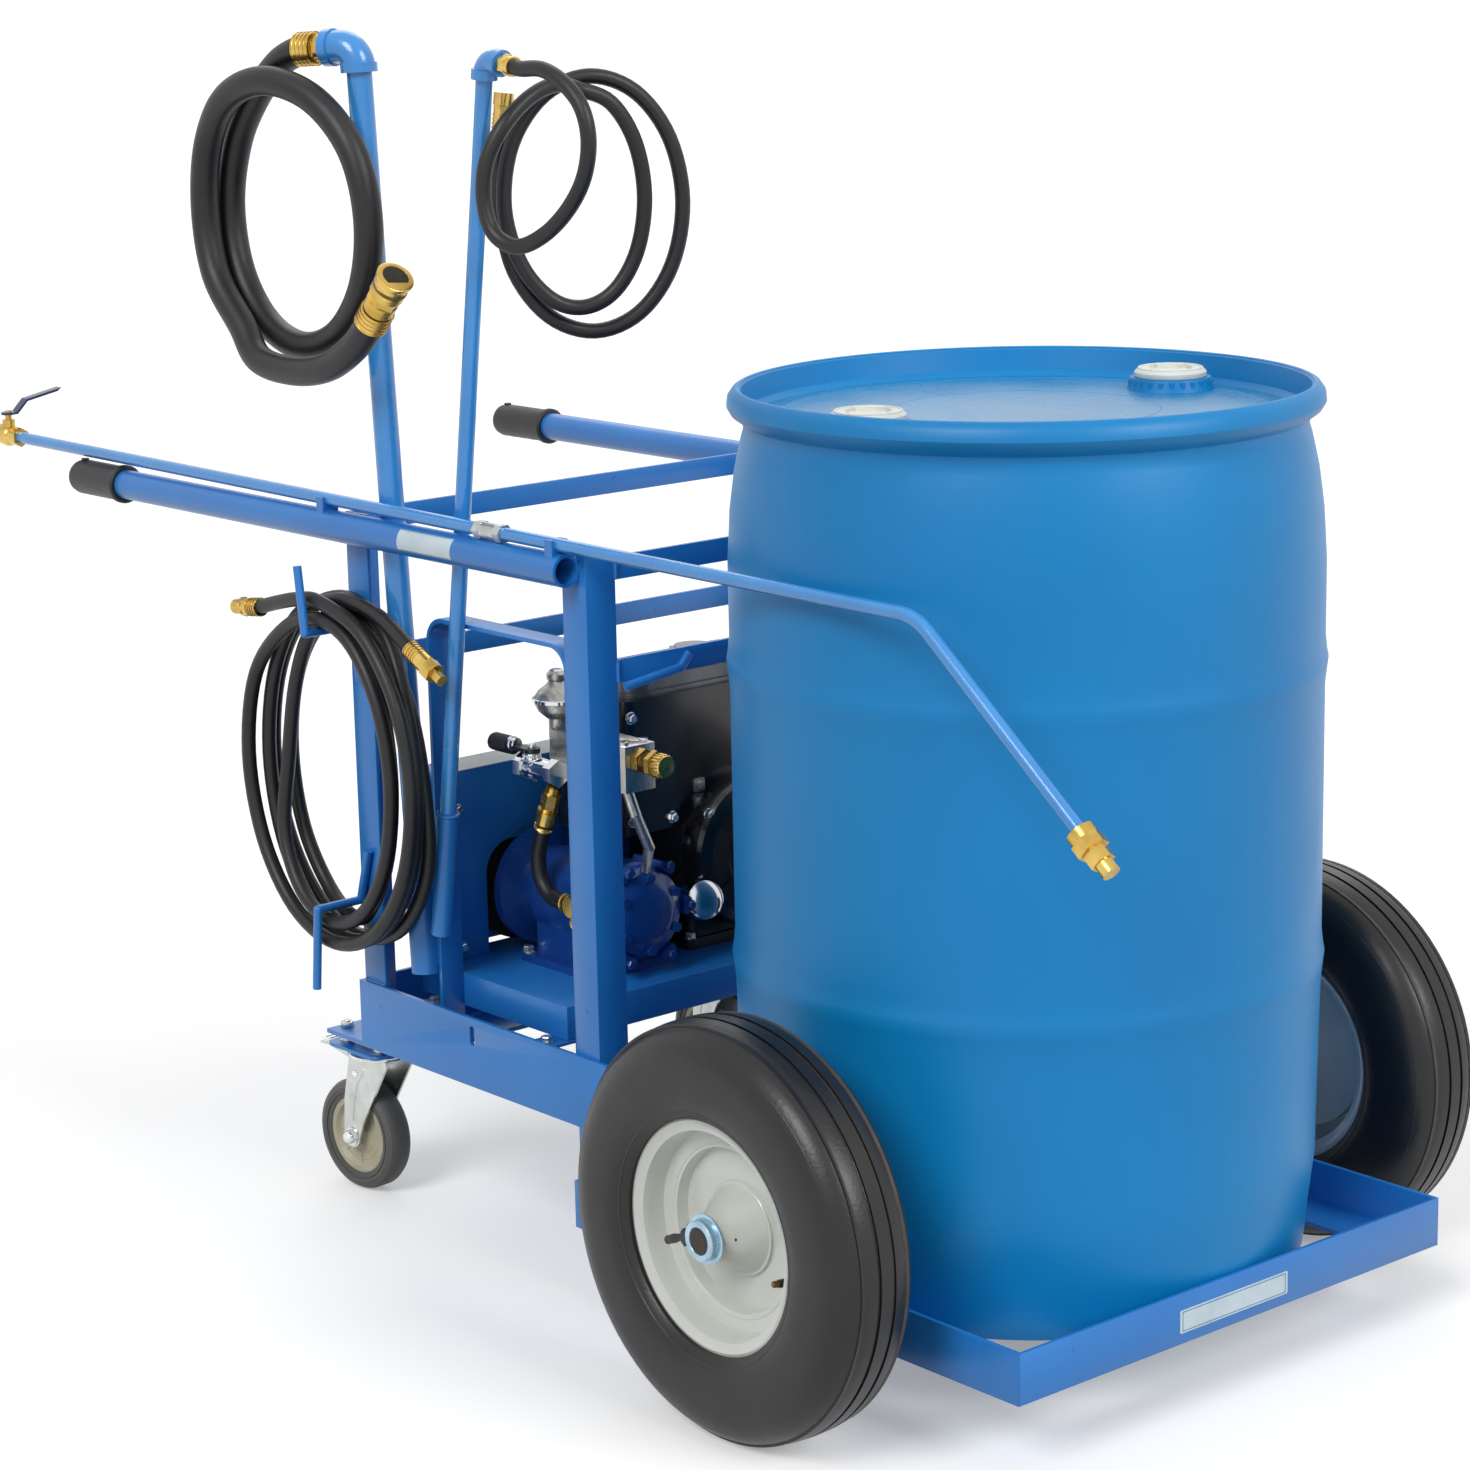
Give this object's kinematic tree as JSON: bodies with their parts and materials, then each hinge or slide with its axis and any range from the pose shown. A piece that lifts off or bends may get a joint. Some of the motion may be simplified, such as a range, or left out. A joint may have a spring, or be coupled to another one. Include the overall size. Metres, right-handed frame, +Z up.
{
  "type": "wheeled sprayer cart",
  "caption": "Push cart with a plastic drum on a wheeled platform, an engine-driven diaphragm pump, coiled hoses, dip tubes and a spray wand.",
  "frame": {"origin": "on the floor, in the middle of the cart's length and width", "axes": "+X towards the drum end, +Y to the left of the person pushing, +Z up"},
  "size_m": [1.8433, 0.901, 1.2906],
  "materials": {
    "blue_paint": "semi-gloss powder coat",
    "grip_rubber": "matte",
    "white_paint": "gloss",
    "tyre_rubber": "matte",
    "collar_steel": "zinc plated",
    "caster_zinc": "bright zinc",
    "wheel_core": "satin",
    "grey_tread": "matte",
    "engine_cast": "black painted casting",
    "black_shroud": "gloss",
    "tank_paint": "gloss grey",
    "drive_rubber": "matte",
    "pump_paint": "gloss",
    "bright_steel": "machined",
    "brass": "machined",
    "valve_chrome": "nickel plated",
    "lever_plastic": "satin",
    "hose_black": "satin",
    "drum_plastic": "satin",
    "bung_plastic": "satin",
    "tube_paint": "semi-gloss",
    "galvanised": "galvanised",
    "lever_paint": "dipped vinyl"
  },
  "bodies": {
    "cart_frame": {"platform_front_bar": "blue_paint", "platform_rails": "blue_paint", "chassis_side_rails": "blue_paint", "chassis_rear_bar": "blue_paint", "axle_brackets": "blue_paint", "front_posts": "blue_paint", "rear_posts": "blue_paint", "cross_bars": "blue_paint", "push_handles": "blue_paint", "right_grip": "grip_rubber", "left_grip": "grip_rubber", "engine_deck": "blue_paint", "flat_bar_hoop": "blue_paint", "tube_sockets": "blue_paint", "hose_hooks": "blue_paint", "axle_collars": "collar_steel", "right_caster_plate": "caster_zinc", "left_caster_plate": "caster_zinc", "engine_block": "engine_cast", "engine_cover": "black_shroud", "muffler": "tank_paint", "fuel_tank": "tank_paint", "belt_guard": "blue_paint", "belt_drive": "drive_rubber", "pump_body": "pump_paint", "pump_manifold": "bright_steel", "pressure_bell": "bright_steel", "pump_fittings": "brass", "outlet_valve": "valve_chrome", "supply_hose": "hose_black", "spray_fittings": "brass", "spray_hose": "hose_black"},
    "right_wheel": {"right_rim": "white_paint", "right_tyre": "tyre_rubber"},
    "left_wheel": {"left_rim": "white_paint", "left_tyre": "tyre_rubber"},
    "right_caster": {"right_caster_fork": "caster_zinc"},
    "left_caster": {"left_caster_fork": "caster_zinc"},
    "right_caster_wheel": {"right_caster_core": "wheel_core", "right_caster_tread": "grey_tread"},
    "left_caster_wheel": {"left_caster_core": "wheel_core", "left_caster_tread": "grey_tread"},
    "right_pedal": {"right_caster_pedal": "caster_zinc"},
    "left_pedal": {"left_caster_pedal": "caster_zinc"},
    "fuel_cap": {"fuel_cap": "black_shroud"},
    "outlet_lever": {"outlet_lever": "lever_plastic"},
    "drum": {"drum": "drum_plastic"},
    "right_bung": {"right_bung": "bung_plastic"},
    "left_bung": {"left_bung": "bung_plastic"},
    "suction_line": {"suction_tube": "tube_paint", "suction_fittings": "brass", "suction_hose": "hose_black"},
    "return_line": {"return_tube": "tube_paint", "return_fittings": "brass", "return_hose": "hose_black"},
    "wand": {"wand_pipe": "tube_paint", "wand_coupling": "galvanised", "wand_valve": "brass", "wand_nozzle": "brass"},
    "wand_lever": {"wand_lever": "lever_paint"}
  },
  "joints": [
    {"name": "right_wheel_spin", "type": "hinge", "parent": "cart_frame", "child": "right_wheel", "pos_m": [0.5237, -0.4, 0.2032], "axis": [0, 1, 0], "continuous": true},
    {"name": "left_wheel_spin", "type": "hinge", "parent": "cart_frame", "child": "left_wheel", "pos_m": [0.5237, 0.4, 0.2032], "axis": [0, 1, 0], "continuous": true},
    {"name": "right_caster_swivel", "type": "hinge", "parent": "cart_frame", "child": "right_caster", "pos_m": [-0.258, -0.254, 0.17], "axis": [0, 0, 1], "continuous": true},
    {"name": "left_caster_swivel", "type": "hinge", "parent": "cart_frame", "child": "left_caster", "pos_m": [-0.258, 0.254, 0.17], "axis": [0, 0, 1], "continuous": true},
    {"name": "right_caster_spin", "type": "hinge", "parent": "right_caster", "child": "right_caster_wheel", "pos_m": [-0.29085, -0.25711, 0.0635], "axis": [-0.0941, 0.9956, 0], "continuous": true},
    {"name": "left_caster_spin", "type": "hinge", "parent": "left_caster", "child": "left_caster_wheel", "pos_m": [-0.29085, 0.25711, 0.0635], "axis": [0.0941, 0.9956, 0], "continuous": true},
    {"name": "right_brake_press", "type": "hinge", "parent": "right_caster", "child": "right_pedal", "pos_m": [-0.28189, -0.25626, 0.152], "axis": [0.0941, -0.9956, 0], "range_deg": [0, 15], "stiffness_Nm_per_rad": 0.6},
    {"name": "left_brake_press", "type": "hinge", "parent": "left_caster", "child": "left_pedal", "pos_m": [-0.28189, 0.25626, 0.152], "axis": [-0.0941, -0.9956, 0], "range_deg": [0, 15], "stiffness_Nm_per_rad": 0.6},
    {"name": "fuel_cap_turn", "type": "hinge", "parent": "cart_frame", "child": "fuel_cap", "pos_m": [-0.042, 0.034, 0.605], "axis": [0, 0, 1], "continuous": true},
    {"name": "outlet_lever_turn", "type": "hinge", "parent": "cart_frame", "child": "outlet_lever", "pos_m": [-0.058, -0.1813, 0.53], "axis": [0, 0, 1], "range_deg": [0, 90]},
    {"name": "drum_lift", "type": "slide", "parent": "cart_frame", "child": "drum", "axis": [0, 0, 1], "range_m": [0, 0.1]},
    {"name": "right_bung_turn", "type": "hinge", "parent": "drum", "child": "right_bung", "pos_m": [0.504, -0.205, 0.94], "axis": [0, 0, 1], "continuous": true},
    {"name": "left_bung_turn", "type": "hinge", "parent": "drum", "child": "left_bung", "pos_m": [0.504, 0.205, 0.94], "axis": [0, 0, 1], "continuous": true},
    {"name": "suction_tube_lift", "type": "slide", "parent": "cart_frame", "child": "suction_line", "axis": [-0.0576, 0, 0.9983], "range_m": [0, 0.13]},
    {"name": "return_tube_lift", "type": "slide", "parent": "cart_frame", "child": "return_line", "axis": [0.1409, 0, 0.99], "range_m": [0, 0.13]},
    {"name": "wand_lift", "type": "slide", "parent": "cart_frame", "child": "wand", "axis": [0, 0, 1], "range_m": [0, 0.1]},
    {"name": "wand_lever_turn", "type": "hinge", "parent": "wand", "child": "wand_lever", "pos_m": [-0.89998, -0.3089, 0.80266], "axis": [-0.0063, 0, -1], "range_deg": [0, 90]}
  ]
}
